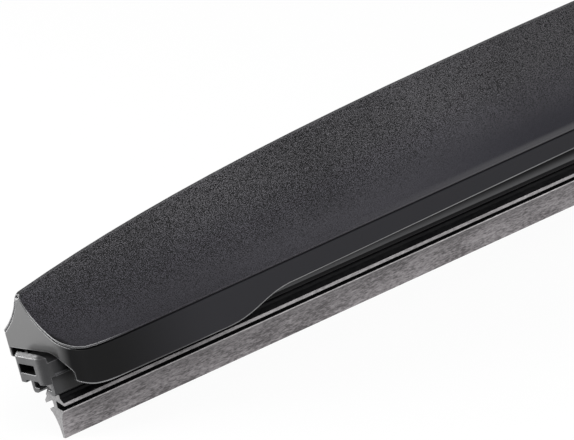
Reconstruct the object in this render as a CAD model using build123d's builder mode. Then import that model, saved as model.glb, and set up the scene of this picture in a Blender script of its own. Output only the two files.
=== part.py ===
from build123d import *
import os
from math import exp

os.makedirs("parts", exist_ok=True)

# Hybrid wiper blade: a covered lever frame that carries a rubber squeegee.
# Millimetres. x runs along the blade, -y is the front, z is measured up from the wiping edge,
# and the origin is the middle of that edge. Left pieces are drawn, right ones are their mirror.

# Blade
blade_length = 450.0

# Rubber squeegee, section sizes from the lip upwards
lip_thickness = 0.72
lip_waist_thickness = 1.5
shoulder_height = 4.85
shoulder_width = 4.2
shoulder_lip = 0.2
neck_width = 1.1
neck_foot_height = 5.4
neck_top_height = 6.75
flange_width = 6.0
flange_thickness = 0.55
flange_droop = 0.75
root_width = 4.3
root_top_height = 7.75
waist_width = 2.3
waist_foot_height = 8.7
head_foot_height = 9.4
head_width = 5.1
head_height = 11.6
head_bevel = 0.3

# Spring-steel vertebrae in the slots of the rubber's head
vertebra_thickness = 0.9
vertebra_width = 1.2
vertebra_height = 9.95
vertebra_end_gap = 2.0
vertebra_fit = 0.04

# Yokes: long channels over the rubber's head
yoke_wall = 0.9
head_clearance = 0.05
yoke_foot_height = 8.45
yoke_foot_radius = 0.4
yoke_web = 0.9
yoke_end_height = 13.9
yoke_hump_length = 16.0
yoke_start = 8.3
yoke_length = 109.4
yoke_tongue = 7.0
yoke_tongue_width = 4.1
yoke_pin_height = 13.7

# Claws: moulded jaws that hook under the rubber's head
claw_width = 9.2
claw_gap = 0.3
claw_floor_height = 12.0
claw_roof = 0.5
claw_corner = 1.9
claw_rear_corner = 1.3
claw_ledge = 0.35
claw_slot_clearance = 0.15
jaw_foot_height = 8.35
jaw_hook_height = 9.25
jaw_tip = 0.35
jaw_overhang = 1.3
jaw_clearance = 0.3
claw_overhang = 2.9
claw_plate = 1.2
claw_plate_foot = 10.85
claw_plate_top = 16.0
claw_plate_arch_width = 4.4
claw_plate_arch_rise = 0.5
claw_edge = 0.35
claw_plate_edge = 0.55
claw_window_width = 5.0
claw_window_offset = 0.7
claw_window_height = 1.65
claw_window_middle = 13.35
claw_window_depth = 3.6

# Secondary levers: channels that carry an end cover, a yoke and one claw
lever_wall = 0.8
lever_bend = 0.7
side_play = 0.4
lever_web_gap = 0.3
lever_foot_height = 11.6
lever_tail = 7.0
lever_web_end = 6.0
lever_pivot_past_yoke = 23.3
lever_pin_height = 15.0
lever_claw_past_box = 9.0
strap_end_height = 2.6
strap_nose = 3.0
lever_claw_length = 12.0
lever_claw_boss = 1.6

# Pins and bushes
yoke_pin_diameter = 2.6
lever_pin_diameter = 3.2
bush_wall = 0.5
pin_clearance = 0.04
bush_fit = 0.02
pin_head = 0.5

# Primary lever: a bridge between the two lever pins with a box for the adapter
bridge_width = 4.8
bridge_end_radius = 2.9
bridge_depth = 3.2
bridge_arch_height = 18.2
bridge_arch_from_centre = 45.0
bridge_box_length = 54.0
bridge_box_foot = 14.6
bridge_box_floor = 1.4
bridge_box_rim = 29.4
bridge_box_end_rim = 24.0
cheek = 1.2
cheek_gap = 6.4

# Centre pin and hook adapter
centre_pin_diameter = 5.0
centre_pin_height = 25.0
hook_width = 9.4
hook_thickness = 4.0
adapter_plate = 1.4
adapter_nose_radius = 4.4
adapter_plate_radius = 8.2
adapter_tail = 24.0
adapter_tongue_depth = 5.4
adapter_tail_depth = 9.5
adapter_boss = 0.2
adapter_boss_diameter = 8.0
adapter_nub_diameter = 4.0
adapter_nub_height = 1.0
adapter_nub_from_pin = 14.0

# Covers: a spoiler ridge with hollow flanks over straight skirts
cover_width = 18.4
cover_wall = 1.6
cover_foot = 5.0
ridge_top = 36.4
ridge_fall = 10.75
ridge_reach = 52.0
ridge_end_radius = 1.4
ridge_offset = 2.1
ridge_flat = 1.0
fin_depth = 6.0
inner_drop = 0.45
inner_sweep = 0.68
crease_height_at_end = 15.45
crease_slope = 0.0105
crease_lift = 1.8
crease_reach = 3.0
crease_lip = 0.3
groove_height = 0.32
groove_depth = 0.4
front_corner_radius = 4.0
rear_corner_radius = 0.5
end_slant = 0.85
inner_corner_radius = 0.3
rear_crease_lift = 0.8
rim_radius = 0.3

# Skirt line along the end cover, as distances from the end and heights
mouth_height = 12.3
skirt_deep_start = 8.0
skirt_deep_end = 31.0
skirt_deep_height = 8.85
skirt_shallow_start = 46.0
skirt_shallow_height = 11.6
skirt_inner_height = 14.0

# Mouth in the end wall for the outer claw
mouth_top = 15.6
mouth_half_width = 7.5
mouth_rear_wall = 1.0
mouth_rear_foot = 13.9
mouth_shoulder = 2.4
mouth_rear_radius = 0.8

# Ribs that clip the end cover on its lever
rib_thickness = 1.6
rib_first = 78.0
rib_second = 122.0
rib_clearance = 0.1

# Seam between the covers, an arc about the lever pin
seam_radius = 24.0
seam_gap = 0.7

# Centre cover housing round the adapter
housing_length = 104.0
housing_shoulder = 24.0
housing_slope = 12.0
housing_top = 32.2
housing_corner = 5.0
housing_wall = 1.4
housing_ramp = 16.0
aperture_start = -12.5
aperture_end = 35.0
aperture_width = 13.2
aperture_corner = 3.0

# Places worked out from the sizes above
x_end = -blade_length / 2
x_yoke = x_end + yoke_start + yoke_length / 2
x_lever = x_end + yoke_start + yoke_length + lever_pivot_past_yoke
x_lever_claw = -bridge_box_length / 2 - lever_claw_past_box
yoke_inner = head_width / 2 + head_clearance
yoke_half = yoke_inner + yoke_wall
lever_inner = yoke_half + side_play
lever_half = lever_inner + lever_wall
yoke_bush_bore = yoke_pin_diameter + 2 * pin_clearance
yoke_bush_diameter = yoke_bush_bore + 2 * bush_wall
lever_bush_bore = lever_pin_diameter + 2 * pin_clearance
lever_bush_diameter = lever_bush_bore + 2 * bush_wall
yoke_hump_height = yoke_pin_height + yoke_bush_diameter / 2 + 0.15 + yoke_web
lever_web_height = yoke_hump_height + lever_web_gap
lever_top_height = lever_web_height + lever_wall
yoke_end = yoke_start + yoke_length
claw_roof_height = yoke_end_height + claw_slot_clearance
claw_top_height = claw_roof_height + claw_roof
cheek_half = cheek_gap + cheek
bridge_boss_half = lever_inner - side_play
claw_length = yoke_start - claw_gap
bridge_floor_height = bridge_box_foot + bridge_box_floor
cover_half = cover_width / 2
mouth_rear_side = cover_half - mouth_rear_wall
x_seam = x_lever + seam_radius
far = 2 * blade_length


def from_end(distance):
    """x of a place given as a distance from the left end of the rubber."""
    return x_end + distance


def export_piece(piece, name):
    """Label a finished piece and write it."""
    piece.part.label = name
    export_step(piece.part, f"parts/{name}.step")


def export_pair(piece, name):
    """Write a left piece and its mirror image on the right."""
    export_piece(piece, f"left_{name}")
    with BuildPart() as opposite:
        mirror(piece.part, about=Plane.YZ)
    export_piece(opposite, f"right_{name}")


def both_sides(points):
    """The points of a section on one side, and the same points mirrored in y."""
    return points, [(-y, z) for y, z in points]


# Squeegee: one extruded profile with a lip, a flexing neck, a drooping flange and a slotted head
slot_foot = vertebra_height - vertebra_fit
slot_top = vertebra_height + vertebra_thickness + vertebra_fit
slot_root = head_width / 2 - vertebra_width - vertebra_fit
with BuildPart() as squeegee:
    with BuildSketch(Plane.YZ.offset(x_end)) as profile:
        with BuildLine() as outline:
            Line((0, 0), (lip_thickness / 2, 0))
            lip_side = ThreePointArc(
                (lip_thickness / 2, 0),
                (lip_waist_thickness / 2, shoulder_height * 0.53),
                (shoulder_width / 2, shoulder_height),
            )
            Polyline(
                lip_side @ 1,
                (shoulder_width / 2, shoulder_height + shoulder_lip),
                (neck_width / 2, neck_foot_height),
                (neck_width / 2, neck_top_height),
                (flange_width / 2, neck_top_height - flange_droop),
                (flange_width / 2, neck_top_height - flange_droop + flange_thickness),
                (root_width / 2, neck_top_height + flange_thickness),
                (root_width / 2, root_top_height),
                (waist_width / 2, waist_foot_height),
                (waist_width / 2, head_foot_height),
                (head_width / 2, head_foot_height + 0.2),
                (head_width / 2, slot_foot),
                (slot_root, slot_foot),
                (slot_root, slot_top),
                (head_width / 2, slot_top),
                (head_width / 2, head_height - head_bevel),
                (head_width / 2 - head_bevel, head_height),
                (0, head_height),
            )
            mirror(about=Plane.YZ)
        make_face()
    extrude(amount=blade_length)
export_piece(squeegee, "squeegee")

# Vertebrae: two strips, one in each slot of the head
vertebra_length = blade_length - 2 * vertebra_end_gap
vertebra_centre = slot_root + vertebra_fit + vertebra_width / 2
with BuildPart() as front_vertebra:
    with Locations((0, -vertebra_centre, vertebra_height + vertebra_thickness / 2)):
        Box(vertebra_length, vertebra_width, vertebra_thickness)
export_piece(front_vertebra, "front_vertebra")

with BuildPart() as rear_vertebra:
    mirror(front_vertebra.part, about=Plane.XZ)
export_piece(rear_vertebra, "rear_vertebra")

# Yoke: a channel with a straight foot, a hump over its pin and a tongue at each end
hump_half = yoke_hump_length / 2
with BuildPart() as yoke:
    with BuildSketch(Plane.XZ) as side:
        with BuildLine():
            Polyline(
                (from_end(yoke_start), yoke_foot_height),
                (from_end(yoke_start), yoke_end_height),
                (x_yoke - hump_half, yoke_end_height),
                (x_yoke - hump_half / 2, yoke_hump_height),
                (x_yoke + hump_half / 2, yoke_hump_height),
                (x_yoke + hump_half, yoke_end_height),
                (from_end(yoke_end), yoke_end_height),
                (from_end(yoke_end), yoke_foot_height),
                close=True,
            )
        make_face()
    extrude(amount=yoke_half, both=True)
    with BuildSketch(Plane.XZ) as hollow:
        with BuildLine():
            Polyline(
                (from_end(yoke_start), 0),
                (from_end(yoke_start), yoke_end_height - yoke_web),
                (x_yoke - hump_half, yoke_end_height - yoke_web),
                (x_yoke - hump_half / 2, yoke_hump_height - yoke_web),
                (x_yoke + hump_half / 2, yoke_hump_height - yoke_web),
                (x_yoke + hump_half, yoke_end_height - yoke_web),
                (from_end(yoke_end), yoke_end_height - yoke_web),
                (from_end(yoke_end), 0),
                close=True,
            )
        make_face()
    extrude(amount=yoke_inner, both=True, mode=Mode.SUBTRACT)
    foot_edges = yoke.edges().filter_by(Axis.X).group_by(Axis.Z)[0]
    fillet(foot_edges, yoke_foot_radius)
    tongue_height = yoke_end_height - yoke_web / 2
    for tongue_x in (yoke_start - yoke_tongue / 2, yoke_end + yoke_tongue / 2):
        with Locations((from_end(tongue_x), 0, tongue_height)):
            Box(yoke_tongue, yoke_tongue_width, yoke_web)
    with Locations(Plane((x_yoke, 0, yoke_pin_height), z_dir=(0, 1, 0))):
        Hole((yoke_bush_diameter + 2 * bush_fit) / 2)
export_pair(yoke, "yoke")


def jaw_profile(reach):
    """Half section of a claw's jaw: an outer wall with a hook under the rubber's head."""
    tip = waist_width / 2 + jaw_clearance
    return [
        (yoke_half, claw_floor_height + reach),
        (yoke_half, jaw_foot_height + jaw_tip),
        (yoke_half - jaw_tip, jaw_foot_height),
        (yoke_inner - jaw_tip, jaw_foot_height),
        (tip, jaw_hook_height - jaw_tip),
        (tip, jaw_hook_height),
        (yoke_inner, jaw_hook_height),
        (yoke_inner, claw_floor_height + reach),
    ]


# Outer claw: box over the yoke's tongue, jaws, and an end plate with a window
slot_half = yoke_tongue_width / 2 + 0.05
slot_foot_height = yoke_end_height - yoke_web - claw_slot_clearance
with BuildPart() as outer_claw:
    claw_start = -claw_overhang
    claw_middle = from_end((claw_start + claw_length) / 2)
    claw_run = claw_length - claw_start
    with BuildSketch(Plane.XY.offset(claw_plate_foot)) as plan:
        with Locations((claw_middle, 0)):
            Rectangle(claw_run, claw_width)
        fillet(plan.vertices().group_by(Axis.X)[0].sort_by(Axis.Y)[0], claw_corner)
        fillet(plan.vertices().group_by(Axis.X)[0].sort_by(Axis.Y)[-1], claw_rear_corner)
    extrude(amount=claw_plate_top - claw_plate_foot)
    with BuildSketch(Plane.XZ) as behind_plate:
        with BuildLine():
            Polyline(
                (from_end(claw_start + claw_plate), claw_plate_top + 1),
                (from_end(claw_start + claw_plate), claw_top_height),
                (from_end(claw_length), claw_top_height),
                (from_end(claw_length), claw_plate_top + 1),
                close=True,
            )
        make_face()
        with BuildLine():
            Polyline(
                (from_end(claw_start + claw_plate), claw_plate_foot - 1),
                (from_end(claw_start + claw_plate), claw_floor_height),
                (from_end(claw_length), claw_floor_height),
                (from_end(claw_length), claw_plate_foot - 1),
                close=True,
            )
        make_face()
    extrude(amount=claw_width, both=True, mode=Mode.SUBTRACT)
    ledge_start = claw_start + claw_corner
    with Locations((from_end((ledge_start + claw_length) / 2), 0, claw_floor_height + claw_ledge / 2)):
        Box(claw_length - ledge_start, claw_width + 2 * claw_ledge, claw_ledge)
    with BuildSketch(Plane.YZ.offset(from_end(-jaw_overhang))):
        for jaw in both_sides(jaw_profile(0.2)):
            Polygon(*jaw, align=None)
    extrude(amount=claw_length + jaw_overhang)
    with BuildSketch(Plane.YZ.offset(from_end(claw_start + claw_plate))):
        with Locations((0, (slot_foot_height + claw_roof_height) / 2)):
            Rectangle(2 * slot_half, claw_roof_height - slot_foot_height)
    extrude(amount=claw_run, mode=Mode.SUBTRACT)
    with BuildSketch(Plane.YZ.offset(from_end(claw_start - 1))):
        with Locations((claw_window_offset, claw_window_middle)):
            Rectangle(claw_window_width, claw_window_height)
    extrude(amount=claw_window_depth + 1, mode=Mode.SUBTRACT)
    with BuildSketch(Plane.YZ.offset(from_end(claw_start - 1))):
        with Locations((0, claw_plate_foot)):
            SlotOverall(claw_plate_arch_width, 2 * claw_plate_arch_rise)
    extrude(amount=claw_plate + 1, mode=Mode.SUBTRACT)
    chamfer(outer_claw.faces().sort_by(Axis.Z)[-1].outer_wire().edges(), claw_plate_edge)
export_pair(outer_claw, "outer_claw")

# Inner claw: a plain box and jaws on the yoke's other tongue
with BuildPart() as inner_claw:
    with BuildSketch(Plane.YZ.offset(from_end(yoke_end + claw_gap))):
        with Locations((0, (claw_floor_height + claw_top_height) / 2)):
            Rectangle(2 * yoke_half, claw_top_height - claw_floor_height)
        for jaw in both_sides(jaw_profile(0.2)):
            Polygon(*jaw, align=None)
        with Locations((0, (slot_foot_height + claw_roof_height) / 2)):
            Rectangle(2 * slot_half, claw_roof_height - slot_foot_height, mode=Mode.SUBTRACT)
    extrude(amount=claw_length)
    chamfer(inner_claw.faces().sort_by(Axis.Z)[-1].outer_wire().edges(), claw_edge)
export_pair(inner_claw, "inner_claw")

# Yoke bush: a sleeve through both walls of the yoke
with BuildPart() as yoke_bush:
    with BuildSketch(Plane((x_yoke, 0, yoke_pin_height), z_dir=(0, 1, 0))):
        Circle(yoke_bush_diameter / 2)
        Circle(yoke_bush_bore / 2, mode=Mode.SUBTRACT)
    extrude(amount=yoke_half + side_play / 2, both=True)
export_pair(yoke_bush, "yoke_bush")

# Yoke pin: held in the walls of the secondary lever
with BuildPart() as yoke_pin:
    with BuildSketch(Plane((x_yoke, 0, yoke_pin_height), z_dir=(0, 1, 0))):
        Circle(yoke_pin_diameter / 2)
    extrude(amount=lever_half + pin_head, both=True)
export_pair(yoke_pin, "yoke_pin")

# Secondary lever: a channel over the yoke that runs out in two straps to its own claw
strap_foot = claw_floor_height
strap_top = strap_foot + strap_end_height
with BuildPart() as secondary_lever:
    with BuildSketch(Plane.XZ) as lever_side:
        with BuildLine():
            Polyline(
                (x_yoke - lever_tail, lever_foot_height),
                (x_yoke - lever_tail, lever_top_height - 2),
                (x_yoke - lever_tail + 2, lever_top_height),
                (x_lever + bridge_end_radius, lever_top_height),
                (x_lever_claw - strap_nose, strap_top),
                (x_lever_claw + strap_nose, strap_top),
                (x_lever_claw + strap_nose, strap_foot),
                (x_lever_claw - strap_nose, strap_foot),
                (x_lever, lever_foot_height),
                close=True,
            )
        make_face()
    extrude(amount=lever_half, both=True)
    with BuildSketch(Plane.XZ):
        with BuildLine():
            Polyline(
                (x_yoke - lever_tail, 0),
                (x_yoke - lever_tail, lever_web_height),
                (x_lever - lever_web_end, lever_web_height),
                (x_lever - lever_web_end, lever_top_height + 1),
                (x_lever_claw + strap_nose, lever_top_height + 1),
                (x_lever_claw + strap_nose, 0),
                close=True,
            )
        make_face()
    extrude(amount=lever_inner, both=True, mode=Mode.SUBTRACT)
    top_edges = secondary_lever.edges().filter_by(Axis.X).group_by(Axis.Z)[-1]
    fillet(top_edges.filter_by(lambda edge: abs(edge.center().Y) > lever_inner), lever_bend)
    pin_places = (
        (x_yoke, yoke_pin_height, yoke_pin_diameter),
        (x_lever, lever_pin_height, lever_pin_diameter),
        (x_lever_claw, (strap_foot + strap_top) / 2, lever_claw_boss),
    )
    for pin_x, pin_z, pin_diameter in pin_places:
        with Locations(Plane((pin_x, 0, pin_z), z_dir=(0, 1, 0))):
            Hole(pin_diameter / 2 + bush_fit)
export_pair(secondary_lever, "secondary_lever")

# Lever claw: jaws between the lever's straps, held by two bosses
with BuildPart() as lever_claw:
    with BuildSketch(Plane.YZ.offset(x_lever_claw - lever_claw_length / 2)):
        with Locations((0, (strap_foot + strap_top) / 2)):
            Rectangle(2 * (lever_inner - 0.1), strap_end_height)
        for jaw in both_sides(jaw_profile(0.2)):
            Polygon(*jaw, align=None)
    extrude(amount=lever_claw_length)
    chamfer(lever_claw.faces().sort_by(Axis.Z)[-1].edges(), claw_edge)
    with BuildSketch(Plane((x_lever_claw, 0, (strap_foot + strap_top) / 2), z_dir=(0, 1, 0))):
        Circle(lever_claw_boss / 2)
    extrude(amount=lever_half, both=True)
export_pair(lever_claw, "lever_claw")

# Lever bush: a sleeve in the bridge's end
with BuildPart() as lever_bush:
    with BuildSketch(Plane((x_lever, 0, lever_pin_height), z_dir=(0, 1, 0))):
        Circle(lever_bush_diameter / 2)
        Circle(lever_bush_bore / 2, mode=Mode.SUBTRACT)
    extrude(amount=bridge_boss_half + side_play / 2, both=True)
export_pair(lever_bush, "lever_bush")

# Lever pin: held in the straps of the secondary lever
with BuildPart() as lever_pin:
    with BuildSketch(Plane((x_lever, 0, lever_pin_height), z_dir=(0, 1, 0))):
        Circle(lever_pin_diameter / 2)
    extrude(amount=lever_half + pin_head, both=True)
export_pair(lever_pin, "lever_pin")

# Primary lever: arms that fall from the adapter box to the two lever pins
box_half = bridge_box_length / 2
with BuildPart() as primary_lever:
    with BuildSketch(Plane.XZ) as arm:
        with BuildLine():
            Polyline(
                (x_lever, lever_pin_height - bridge_end_radius),
                (-bridge_arch_from_centre, bridge_arch_height),
                (-box_half + cheek, bridge_arch_height),
                (-box_half + cheek, bridge_arch_height + bridge_depth),
                (-bridge_arch_from_centre, bridge_arch_height + bridge_depth),
                (x_lever, lever_pin_height + bridge_end_radius),
                close=True,
            )
        make_face()
    extrude(amount=bridge_width / 2, both=True)
    with BuildSketch(Plane((x_lever, 0, lever_pin_height), z_dir=(0, 1, 0))):
        Circle(bridge_end_radius)
    extrude(amount=bridge_boss_half, both=True)
    with Locations(Plane((x_lever, 0, lever_pin_height), z_dir=(0, 1, 0))):
        Hole(lever_bush_diameter / 2 + bush_fit)
    mirror(about=Plane.YZ)
    box_depth = bridge_box_rim - bridge_box_foot
    with Locations((0, 0, bridge_box_foot + box_depth / 2)):
        Box(bridge_box_length, 2 * cheek_half, box_depth)
    fillet(primary_lever.edges().filter_by(Axis.Z).filter_by(lambda e: e.length > box_depth * 0.9), 1.0)
    with BuildSketch(Plane.XY.offset(bridge_floor_height)):
        Rectangle(bridge_box_length - 2 * cheek, 2 * cheek_gap)
    extrude(amount=box_depth, mode=Mode.SUBTRACT)
    with BuildSketch(Plane.XZ) as cheek_shape:
        for side in (-1, 1):
            with BuildLine():
                Polyline(
                    (side * (box_half + 1), bridge_box_end_rim),
                    (side * adapter_plate_radius * 1.6, bridge_box_end_rim),
                    (side * adapter_plate_radius, bridge_box_rim + 1),
                    (side * (box_half + 1), bridge_box_rim + 1),
                    close=True,
                )
            make_face()
    extrude(amount=far, both=True, mode=Mode.SUBTRACT)
    with Locations(Plane((0, 0, centre_pin_height), z_dir=(0, 1, 0))):
        Hole(centre_pin_diameter / 2 + bush_fit)
export_piece(primary_lever, "primary_lever")

# Centre pin: flush with the outside of both cheeks
centre_pin_plane = Plane((0, 0, centre_pin_height), z_dir=(0, 1, 0))
with BuildPart() as centre_pin:
    with BuildSketch(centre_pin_plane):
        Circle(centre_pin_diameter / 2)
    extrude(amount=cheek_half, both=True)
export_piece(centre_pin, "centre_pin")

# Arm adapter: a round nose for the arm's hook between two guide plates, with a locking nub
hook_half = hook_width / 2
adapter_half = hook_half + adapter_plate
with BuildPart() as arm_adapter:
    with BuildSketch(Plane.XZ) as guide:
        with Locations((0, centre_pin_height)):
            Circle(adapter_plate_radius)
        with Locations((adapter_tail / 2, centre_pin_height)):
            RectangleRounded(adapter_tail, adapter_tail_depth, 2.0)
    extrude(amount=adapter_half, both=True)
    with BuildSketch(Plane.XZ):
        with Locations((0, centre_pin_height)):
            Rectangle(far, far)
        with Locations((0, centre_pin_height)):
            Circle(adapter_nose_radius, mode=Mode.SUBTRACT)
        with Locations((adapter_tail / 2, centre_pin_height)):
            Rectangle(adapter_tail, adapter_tongue_depth, mode=Mode.SUBTRACT)
    extrude(amount=hook_half, both=True, mode=Mode.SUBTRACT)
    with BuildSketch(centre_pin_plane):
        Circle(adapter_boss_diameter / 2)
    extrude(amount=adapter_half + adapter_boss, both=True)
    with BuildSketch(Plane.XZ):
        with Locations((0, centre_pin_height)):
            Rectangle(far, far)
        with Locations((0, centre_pin_height)):
            Circle(adapter_nose_radius, mode=Mode.SUBTRACT)
        with Locations((adapter_tail / 2, centre_pin_height)):
            Rectangle(adapter_tail, adapter_tongue_depth, mode=Mode.SUBTRACT)
    extrude(amount=hook_half, both=True, mode=Mode.SUBTRACT)
    with BuildSketch(Plane.XY.offset(centre_pin_height + adapter_tongue_depth / 2)):
        with Locations((adapter_nub_from_pin, 0)):
            Circle(adapter_nub_diameter / 2)
    extrude(amount=adapter_nub_height)
    with Locations(centre_pin_plane):
        Hole(centre_pin_diameter / 2 + pin_clearance)
export_piece(arm_adapter, "arm_adapter")


def end_distance(x):
    """Distance of a place from the nearer end of the blade."""
    return blade_length / 2 - abs(x)


def ridge_height(x):
    """Height of the spoiler's ridge: it climbs from the ends and levels out."""
    return ridge_top - ridge_fall * exp(-end_distance(x) / ridge_reach)


def crease_height(x):
    """Height of the crease between a flank and its skirt: it lifts round the end corner."""
    distance = end_distance(x)
    lift = crease_lift * exp(-distance / crease_reach)
    return crease_height_at_end + crease_slope * distance + lift


def spoiler_section(x, inset=0.0, drop=0.0, sink=0.0, sweep=0.55):
    """Section of the spoiler at x: straight skirts, hollow flanks and a narrow ridge.

    The inside of the wall is the same section with its skirts moved in by inset, its crease
    lowered by drop and its ridge lowered by sink. The front flank is flatter near the crease
    when sweep is small.
    """
    side = cover_half - inset
    crease = crease_height(x) - drop
    rear_crease = crease + rear_crease_lift
    top = ridge_height(x) - sink
    front_top = ridge_offset - ridge_flat / 2
    rear_top = ridge_offset + ridge_flat / 2
    front_run = front_top + side
    rear_run = side - rear_top
    rise = top - crease
    rear_rise = top - rear_crease
    with BuildSketch(Plane.YZ.offset(x)) as section:
        with BuildLine():
            Polyline((rear_top, top), (front_top, top))
            Bezier(
                (front_top, top),
                (front_top - 0.12 * front_run, crease + 0.55 * rise),
                (front_top - sweep * front_run, crease + 0.10 * rise),
                (-side, crease),
            )
            Polyline((-side, crease), (-side, cover_foot), (side, cover_foot), (side, rear_crease))
            Bezier(
                (side, rear_crease),
                (rear_top + 0.50 * rear_run, rear_crease + 0.28 * rear_rise),
                (rear_top + 0.08 * rear_run, rear_crease + 0.70 * rear_rise),
                (rear_top, top),
            )
        make_face()
    return section.sketch


def inner_section(x):
    """Section of the hollow inside the spoiler."""
    return spoiler_section(x, cover_wall, inner_drop, fin_depth, inner_sweep)


def plan_outline(start, end, inset):
    """Plan of an end cover: its outer end has round corners and stands out a little at the rear."""
    side = cover_half - inset
    with BuildSketch(Plane.XY) as plan:
        with BuildLine():
            Polyline((start, -side), (end, -side), (end, side), (start - end_slant, side), close=True)
        make_face()
        fillet(plan.vertices().group_by(Axis.Y)[0].sort_by(Axis.X)[0], front_corner_radius - inset)
        rear_radius = max(rear_corner_radius - inset, inner_corner_radius)
        fillet(plan.vertices().group_by(Axis.Y)[-1].sort_by(Axis.X)[0], rear_radius)
    return plan.sketch


# End cover: spoiler cut to its plan, hollowed, trimmed along its skirts and opened at the end
station_growth = [1.2 ** step - 1 for step in range(16)]
station_scale = (x_seam + 2 - x_end) / station_growth[-1]
end_stations = [from_end(growth * station_scale - 1) for growth in station_growth]


def skirt_ring(depth):
    """Outer layer of the end cover from a depth below its flanks downwards."""
    with BuildPart() as ring:
        loft([spoiler_section(x, drop=depth, sink=depth) for x in end_stations])
        extrude(plan_outline(x_end, x_seam + 1, 0), amount=far, mode=Mode.INTERSECT)
        extrude(
            plan_outline(x_end + groove_depth, x_seam + 2, groove_depth),
            amount=far,
            mode=Mode.SUBTRACT,
        )
    return ring.part


def is_rim(edge):
    """Tell whether an edge is on the outer rim of the mouth or of the skirts."""
    box = edge.bounding_box()
    on_end = edge.center().X < x_end + cover_wall / 2 and abs((edge % 0.5).X) < 0.8
    on_mouth = on_end and box.max.Z < mouth_top + 0.1 and box.max.Y < mouth_rear_side + 0.1
    on_front = box.min.Y < -cover_half + 0.01 and box.max.Y < -mouth_half_width + 0.1
    on_rear = box.min.Y > cover_half - 0.01
    is_low = box.max.Z < skirt_inner_height + 0.1 and box.max.X - box.min.X > 1
    return on_mouth or (is_low and (on_front or on_rear))


with BuildPart() as end_cover:
    loft([spoiler_section(x) for x in end_stations])
    extrude(plan_outline(x_end, x_seam + 1, 0), amount=far, mode=Mode.INTERSECT)
    add(skirt_ring(crease_lip), mode=Mode.SUBTRACT)
    add(skirt_ring(crease_lip + groove_height))
    with BuildPart(mode=Mode.PRIVATE) as cavity:
        loft([inner_section(x) for x in end_stations])
        extrude(
            plan_outline(x_end + cover_wall, x_seam + 2, cover_wall),
            amount=far,
            mode=Mode.INTERSECT,
        )
    add(cavity.part, mode=Mode.SUBTRACT)
    for distance in (rib_first, rib_second):
        with BuildPart(mode=Mode.PRIVATE) as rib:
            extrude(spoiler_section(from_end(distance), 0.8, 0.3, 2.0), amount=rib_thickness)
            with Locations((from_end(distance), 0, (lever_top_height + rib_clearance) / 2)):
                Box(
                    far,
                    2 * (lever_half + rib_clearance),
                    lever_top_height + rib_clearance,
                    mode=Mode.SUBTRACT,
                )
        add(rib.part)
    with BuildSketch(Plane.XZ) as below_skirt:
        skirt_climb = skirt_shallow_start - skirt_deep_end
        with BuildLine():
            mouth_edge = Bezier(
                (from_end(-0.5), mouth_height),
                (from_end(1.5), skirt_deep_height + 0.75),
                (from_end(4.0), skirt_deep_height),
                (from_end(skirt_deep_start), skirt_deep_height),
            )
            Line(mouth_edge @ 1, (from_end(skirt_deep_end), skirt_deep_height))
            Bezier(
                (from_end(skirt_deep_end), skirt_deep_height),
                (from_end(skirt_deep_end + 0.43 * skirt_climb), skirt_deep_height),
                (from_end(skirt_shallow_start - 0.43 * skirt_climb), skirt_shallow_height),
                (from_end(skirt_shallow_start), skirt_shallow_height),
            )
            Polyline(
                (from_end(skirt_shallow_start), skirt_shallow_height),
                (x_seam + 2, skirt_inner_height),
                (x_seam + 2, 0),
                (from_end(-2), 0),
                (from_end(-2), mouth_height),
                mouth_edge @ 0,
            )
        make_face()
    extrude(amount=far, both=True, mode=Mode.SUBTRACT)
    with BuildSketch(Plane.XZ) as past_ridge_end:
        ridge_end = x_end - end_slant * (cover_half + ridge_offset) / cover_width
        round_end = ridge_end + ridge_end_radius
        round_foot = (ridge_end, ridge_height(x_end) - ridge_end_radius)
        round_top = (round_end, ridge_height(round_end))
        round_middle = (
            ridge_end + 0.25 * ridge_end_radius,
            ridge_height(x_end) - 0.2 * ridge_end_radius,
        )
        with BuildLine():
            ThreePointArc(round_foot, round_middle, round_top)
            Polyline(
                round_top,
                (round_top[0], far),
                (from_end(-1), far),
                (from_end(-1), round_foot[1]),
                round_foot,
            )
        make_face()
    extrude(amount=far, both=True, mode=Mode.SUBTRACT)
    with BuildSketch(Plane.YZ.offset(x_end - 1)) as mouth:
        with BuildLine():
            Polyline((-mouth_half_width, 0), (-mouth_half_width, mouth_height))
            ThreePointArc(
                (-mouth_half_width, mouth_height),
                (-mouth_half_width * 0.807, (mouth_height + mouth_top) / 2 + 0.3),
                (-mouth_shoulder, mouth_top),
            )
            Polyline(
                (-mouth_shoulder, mouth_top),
                (mouth_rear_side, mouth_top),
                (mouth_rear_side, mouth_rear_foot),
                (cover_width, mouth_rear_foot),
                (cover_width, 0),
                (-mouth_half_width, 0),
            )
        make_face()
    extrude(amount=cover_wall + 1.01, mode=Mode.SUBTRACT)
    with BuildSketch(Plane.XZ) as past_seam:
        with Locations((x_lever + far / 2, lever_pin_height)):
            Rectangle(far, far)
        with Locations((x_lever, lever_pin_height)):
            Circle(seam_radius, mode=Mode.SUBTRACT)
    extrude(amount=far, both=True, mode=Mode.SUBTRACT)
    fillet(end_cover.edges().filter_by(is_rim), rim_radius)
export_pair(end_cover, "end_cover")

def housing_block(inset):
    """Solid of the housing: round corners in plan, sloping shoulders in side view."""
    half = housing_length / 2 - inset
    flat_half = housing_length / 2 - housing_slope - inset / 2
    top = housing_top - inset
    shoulder = housing_shoulder - inset / 2
    with BuildPart() as block:
        with BuildSketch(Plane.XY):
            RectangleRounded(2 * half, cover_width - 2 * inset, housing_corner - inset)
        extrude(amount=far)
        with BuildSketch(Plane.XZ.offset(-far / 2)):
            with BuildLine():
                Polyline(
                    (-half, 0),
                    (-half, shoulder),
                    (-flat_half, top),
                    (flat_half, top),
                    (half, shoulder),
                    (half, 0),
                    close=True,
                )
            make_face()
        extrude(amount=far, mode=Mode.INTERSECT)
    return block.part


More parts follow.
